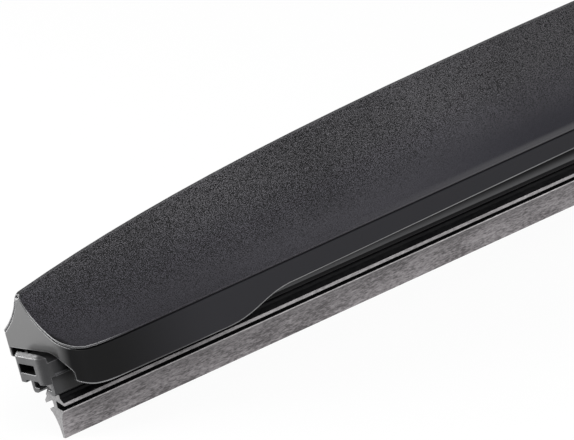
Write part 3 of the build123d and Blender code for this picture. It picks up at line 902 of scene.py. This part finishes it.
@dataclass(frozen=True)
class Run:
    """A stretch of the blade, with the two bodies at its ends."""

    word: str
    start: float
    end: float
    bodies: tuple[str, str]
    turn: tuple[float, float]


@dataclass
class Squeegee:
    """The rubber and its strips in four runs along the yokes, the levers and the bridge."""

    half_length: float = HALF_LENGTH
    strip_half_length: float = 223 * MM
    cut: float = 40 * MM
    outer_turn: Point = (101 * MM, 79 * MM)
    inner_turn: Point = (30 * MM, 0.0)

    def runs(self, reach: float) -> list[Run]:
        """Divide a length into its four runs.

        Args:
            reach: half of the length.

        Returns:
            The runs from left to right.
        """
        far_out, far_in = self.outer_turn
        near_out, near_in = self.inner_turn
        return [
            Run("left_outer", -reach, -self.cut, ("left_yoke", "left_lever"), (-far_out, -far_in)),
            Run("left_inner", -self.cut, 0.0, ("left_lever", "frame"), (-near_out, -near_in)),
            Run("right_inner", 0.0, self.cut, ("frame", "right_lever"), (near_in, near_out)),
            Run("right_outer", self.cut, reach, ("right_lever", "right_yoke"), (far_in, far_out)),
        ]

    def build(self, finishes: "Finishes") -> list[bpy.types.Object]:
        """Make the rubber and the strips.

        Args:
            finishes: the finishes of the rubber and the strips.

        Returns:
            The pieces.
        """
        pieces = []
        for run in self.runs(self.half_length):
            strip = RubberStrip(f"rubber_{run.word}", run.start, run.end, run.bodies, run.turn)
            pieces.append(strip.build(finishes))
        for run in self.runs(self.strip_half_length):
            strips = SteelStrips(f"strips_{run.word}", run.start, run.end, run.bodies, run.turn)
            pieces.append(strips.build(finishes))
        return pieces


@dataclass
class SeamLip:
    """Thin lip of the centre cover that closes a seam.

    It curves about the lever's hinge, so nothing rubs as the lever turns.
    """

    side: Side
    hinge: Point = (84 * MM, 15 * MM)
    radius: float = 24.72 * MM
    thickness: float = 0.66 * MM
    foot: float = 20.6 * MM
    top: float = 35.45 * MM
    ridge: float = 36.0 * MM
    front_foot: Point = (-9.2 * MM, 17 * MM)
    front_top: float = 1.5 * MM
    front_bend: float = 2.4
    rear_foot: Point = (9.2 * MM, 18 * MM)
    rear_top: float = 2.5 * MM
    rear_bend: float = 1.55
    recess: float = 0.35 * MM
    steps: int = 24

    def flank(self, z: float, foot: Point, top: float, bend: float) -> float:
        """Where a concave flank of the cover stands at a height.

        Args:
            z: the height.
            foot: (y, z) of the flank's foot.
            top: its y at the ridge.
            bend: how concave it is, 1 for a straight one.

        Returns:
            The y.
        """
        foot_y, foot_z = foot
        left = ((self.ridge - z) / (self.ridge - foot_z)) ** bend
        return top + (foot_y - top) * left

    def across(self, z: float) -> Point:
        """Reach of the lip to the front and the rear at a height.

        Args:
            z: the height.

        Returns:
            The two values of y, kept under the skin by the recess.
        """
        front = self.flank(z, self.front_foot, self.front_top, self.front_bend)
        rear = self.flank(z, self.rear_foot, self.rear_top, self.rear_bend)
        return front + self.recess, rear - self.recess

    def build(self, finishes: "Finishes") -> bpy.types.Object:
        """Roll a strip about the hinge and give it thickness.

        Args:
            finishes: the finishes, of which the cover's is used.

        Returns:
            The piece.
        """
        mesh = bmesh.new()
        bmesh.ops.create_grid(mesh, x_segments=self.steps, y_segments=1, size=0.5)
        hinge_x, hinge_z = self.hinge
        for corner in mesh.verts:
            z = self.foot + (corner.co.x + 0.5) * (self.top - self.foot)
            rise = z - hinge_z
            front, rear = self.across(z)
            out = hinge_x - math.sqrt(self.radius**2 - rise**2)
            corner.co = (self.side.value * out, front if corner.co.y < 0 else rear, z)
        bmesh.ops.recalc_face_normals(mesh, faces=mesh.faces)
        bmesh.ops.solidify(mesh, geom=list(mesh.faces), thickness=-self.side.value * self.thickness)
        bmesh.ops.recalc_face_normals(mesh, faces=mesh.faces)
        piece = piece_from(mesh, f"seam_lip_{self.side.word}", finishes.cover)
        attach(piece, "frame")
        return piece


@dataclass
class Finishes:
    """Every finish of the blade, built once."""

    cover: bpy.types.Material = field(default_factory=CoverFinish().build)
    # Painted shade: the bare rubber is deepened past the rubber's own black.
    rubber: bpy.types.Material = field(
        default_factory=RubberFinish(
            "rubber_bare", (0.002, 0.002, 0.0025), (0.008, 0.008, 0.0085), shine=0.1
        ).build
    )
    coated: bpy.types.Material = field(
        default_factory=RubberFinish("rubber_coated", (0.063, 0.058, 0.060), (0.248, 0.234, 0.240)).build
    )
    # Painted highlight: the flange's edge faces are far paler than the bare rubber.
    flange: bpy.types.Material = field(
        default_factory=RubberFinish("rubber_flange", (0.174, 0.167, 0.17), (0.348, 0.335, 0.34)).build
    )
    # Painted highlight: the lip's shoulder faces are paler still.
    shoulder: bpy.types.Material = field(
        default_factory=RubberFinish("rubber_shoulder", (0.27, 0.262, 0.265), (0.46, 0.448, 0.452)).build
    )
    # Painted light: the cut ends are paler than the bare rubber, as if lit by the lamp at the end.
    cut: bpy.types.Material = field(
        default_factory=RubberFinish("rubber_cut", (0.088, 0.086, 0.087), (0.16, 0.157, 0.159)).build
    )
    # Painted shade: the claw darkens inward under the cover and is black inside its window.
    claw: bpy.types.Material = field(
        default_factory=MouldedFinish(
            "claw_nylon",
            (0.018, 0.018, 0.019),
            shine=0.36,
            window=((222 * MM, 227.75 * MM), (-1.9 * MM, 3.3 * MM), (12.42 * MM, 14.28 * MM)),
            painted_shade_fade=(222.5 * MM, 225.8 * MM),
        ).build
    )
    adapter: bpy.types.Material = field(
        default_factory=MouldedFinish("adapter_plastic", (0.03, 0.03, 0.032), rough=0.3).build
    )
    bush: bpy.types.Material = field(
        default_factory=MouldedFinish("bush_nylon", (0.5, 0.49, 0.46)).build
    )
    lever: bpy.types.Material = field(
        default_factory=PaintedSteelFinish("lever_paint", (0.006, 0.006, 0.007)).build
    )
    # Painted shade: the yoke's paint is darker than the lever's; painted highlight: a pale band along its
    # walls above the foot.
    yoke: bpy.types.Material = field(
        default_factory=PaintedSteelFinish(
            "yoke_paint", (0.003, 0.003, 0.0035), shine=0.1, highlight_band_foot=9.3 * MM, highlight_band_top=10.9 * MM
        ).build
    )
    pin: bpy.types.Material = field(default_factory=SteelFinish("pin_steel", Axis.Y).build)
    strip: bpy.types.Material = field(default_factory=SteelFinish("strip_steel", Axis.X).build)

    def for_node(self, node: str) -> bpy.types.Material:
        """Finish of a CAD node.

        Args:
            node: the node's name.

        Returns:
            Its material.
        """
        rules = (
            ("cover", self.cover),
            ("claw", self.claw),
            ("adapter", self.adapter),
            ("bush", self.bush),
            ("_pin", self.pin),
            ("lever", self.lever),
            ("yoke", self.yoke),
            ("vertebra", self.strip),
            ("squeegee", self.rubber),
        )
        return next(finish for word, finish in rules if word in node)

    def dress_nodes(self) -> None:
        """Give every CAD node its finish."""
        for name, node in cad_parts.items():
            node.data.materials.clear()
            node.data.materials.append(self.for_node(name))


@dataclass(frozen=True)
class Softbox:
    """One soft lamp."""

    name: str
    place: tuple[float, float, float]
    size: Point
    watts: float


@dataclass
class Studio:
    """Camera, lights and floor."""

    place: tuple[float, float, float] = (-0.460035, -0.446856, 0.153665)
    right: tuple[float, float, float] = (0.780585, -0.576442, -0.241665)
    up: tuple[float, float, float] = (0.337978, 0.064018, 0.938974)
    back: tuple[float, float, float] = (-0.525793, -0.814627, 0.244796)
    lens: float = 198.064
    sensor_width: float = 36.0
    clip: Point = (0.01, 20.0)
    target: tuple[float, float, float] = (-0.17, 0.0, 0.015)
    floor_height: float = -0.0002
    floor_size: float = 4.0
    floor_grey: float = 0.8
    floor_white: float = 0.92
    sky_level: float = 0.4
    lamps: tuple[Softbox, ...] = (
        Softbox("end_softbox", (-0.565, 0.52, 0.135), (0.55, 0.25), 10.6),
        Softbox("front_softbox", (-0.35, -0.9, 0.62), (0.7, 0.7), 14.0),
    )

    def camera(self) -> None:
        """Set the camera where the photograph was taken from."""
        data = bpy.data.cameras.new("camera")
        data.lens = self.lens
        data.sensor_width = self.sensor_width
        data.clip_start, data.clip_end = self.clip
        camera = bpy.data.objects.new("camera", data)
        turn = Matrix((self.right, self.up, self.back)).transposed().to_4x4()
        camera.matrix_world = Matrix.Translation(self.place) @ turn
        bpy.context.scene.collection.objects.link(camera)
        bpy.context.scene.camera = camera

    def lamp(self, box: Softbox) -> None:
        """Hang one soft lamp that faces the near end of the blade.

        Args:
            box: the lamp's sizes and place.
        """
        data = bpy.data.lights.new(box.name, "AREA")
        data.shape = "RECTANGLE"
        data.size, data.size_y = box.size
        data.energy = box.watts
        lamp = bpy.data.objects.new(box.name, data)
        lamp.location = box.place
        aim = Vector(self.target) - Vector(box.place)
        lamp.rotation_euler = aim.to_track_quat("-Z", "Y").to_euler()
        bpy.context.scene.collection.objects.link(lamp)

    def sky(self) -> None:
        """White where it is seen or mirrored, dim in the light that it gives."""
        world = bpy.data.worlds.new("studio")
        bench = ShaderBench(world)
        lighting = bench.add("ShaderNodeLightPath", output="Is Diffuse Ray")
        levels = {"From Min": 0.0, "From Max": 1.0, "To Min": 1.0, "To Max": self.sky_level}
        level = bench.add("ShaderNodeMapRange", values={"Value": lighting, **levels})
        shade = bench.add("ShaderNodeBackground", values={"Strength": level})
        bench.add("ShaderNodeOutputWorld", values={"Surface": shade})
        bpy.context.scene.world = world

    def floor(self) -> None:
        """Lay the pale floor."""
        mesh = bmesh.new()
        bmesh.ops.create_grid(mesh, x_segments=1, y_segments=1, size=self.floor_size)
        bmesh.ops.translate(mesh, verts=mesh.verts, vec=(0.0, 0.0, self.floor_height))
        bench = ShaderBench.material("floor_paper")
        grey = rgba((self.floor_grey,) * 3)
        bare = bench.add("ShaderNodeBsdfDiffuse", values={"Color": grey})
        glow = bench.add("ShaderNodeEmission", values={"Color": rgba(WHITE), "Strength": 1.0})
        seen = bench.add("ShaderNodeLightPath", output="Is Camera Ray")
        mirrored = bench.add("ShaderNodeLightPath", output="Is Glossy Ray")
        through = bench.add("ShaderNodeLightPath", output="Is Transmission Ray")
        share = seen.most(mirrored).most(through) * self.floor_white
        both = bench.add("ShaderNodeMixShader", values={0: share, 1: bare, 2: glow})
        bench.add("ShaderNodeOutputMaterial", values={"Surface": both})
        floor = piece_from(mesh, "floor", bench.owner)

    def build(self) -> None:
        """Set up everything that isn't the blade."""
        bpy.context.scene.view_settings.view_transform = "Standard"
        self.camera()
        self.sky()
        self.floor()
        for box in self.lamps:
            self.lamp(box)


def main() -> None:
    """Dress the nodes, build the pieces and set the studio."""
    logging.basicConfig(level=logging.INFO, format="%(message)s")
    finishes = Finishes()
    finishes.dress_nodes()
    pieces = Squeegee().build(finishes)
    pieces += [SeamLip(side).build(finishes) for side in Side]
    for piece in pieces:
        log.info("piece %s: %d faces", piece.name, len(piece.data.polygons))
    Studio().build()


if __name__ == "__main__":
    main()
